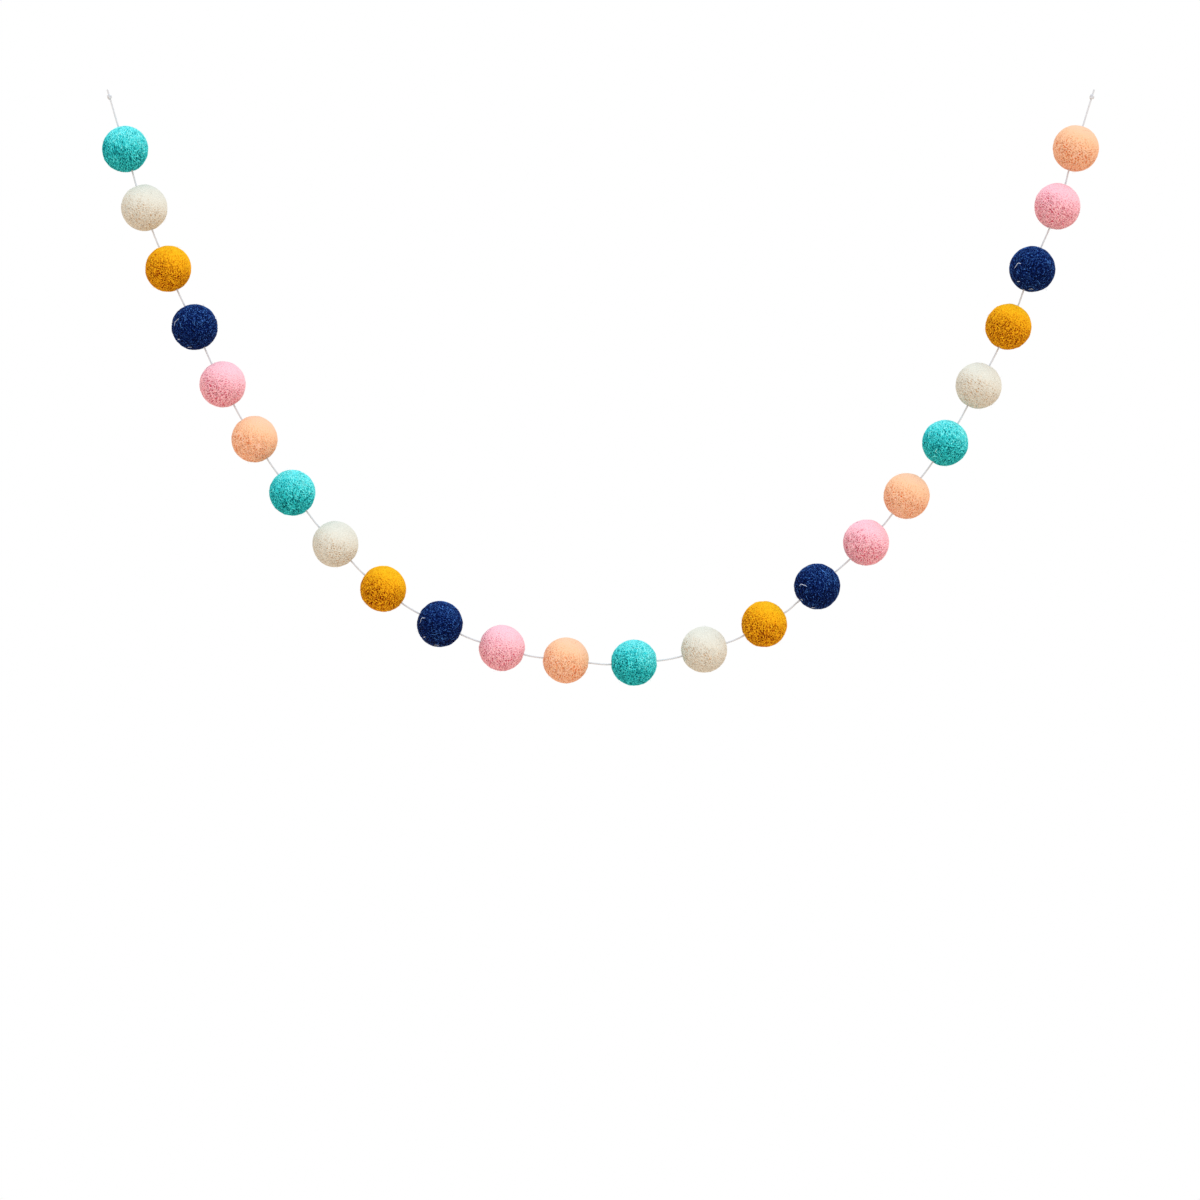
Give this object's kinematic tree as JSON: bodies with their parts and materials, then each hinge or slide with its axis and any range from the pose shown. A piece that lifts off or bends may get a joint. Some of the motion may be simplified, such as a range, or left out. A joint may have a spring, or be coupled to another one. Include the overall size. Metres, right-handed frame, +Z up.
{
  "type": "felt ball garland",
  "caption": "Round wool felt balls in six colours threaded on a thin string that hangs in a deep swag, with a stopper knot at each end.",
  "frame": {"origin": "midpoint of the level line between the two end knots, where the garland is held up", "axes": "+X along the span from the left knot to the right knot, +Y away from the viewer, +Z up"},
  "size_m": [0.5345, 0.025, 0.3198],
  "materials": {
    "felt_teal": "matte",
    "felt_cream": "matte",
    "felt_mustard": "matte",
    "felt_navy": "matte",
    "felt_pink": "matte",
    "felt_peach": "matte",
    "string": "matte"
  },
  "bodies": {
    "root": {"ball_01_teal": "felt_teal", "ball_02_cream": "felt_cream", "ball_03_mustard": "felt_mustard", "ball_04_navy": "felt_navy", "ball_05_pink": "felt_pink", "ball_06_peach": "felt_peach", "ball_07_teal": "felt_teal", "ball_08_cream": "felt_cream", "ball_09_mustard": "felt_mustard", "ball_10_navy": "felt_navy", "ball_11_pink": "felt_pink", "ball_12_peach": "felt_peach", "ball_13_teal": "felt_teal", "ball_14_cream": "felt_cream", "ball_15_mustard": "felt_mustard", "ball_16_navy": "felt_navy", "ball_17_pink": "felt_pink", "ball_18_peach": "felt_peach", "ball_19_teal": "felt_teal", "ball_20_cream": "felt_cream", "ball_21_mustard": "felt_mustard", "ball_22_navy": "felt_navy", "ball_23_pink": "felt_pink", "ball_24_peach": "felt_peach", "string": "string", "knot_left": "string", "knot_right": "string"}
  },
  "joints": []
}
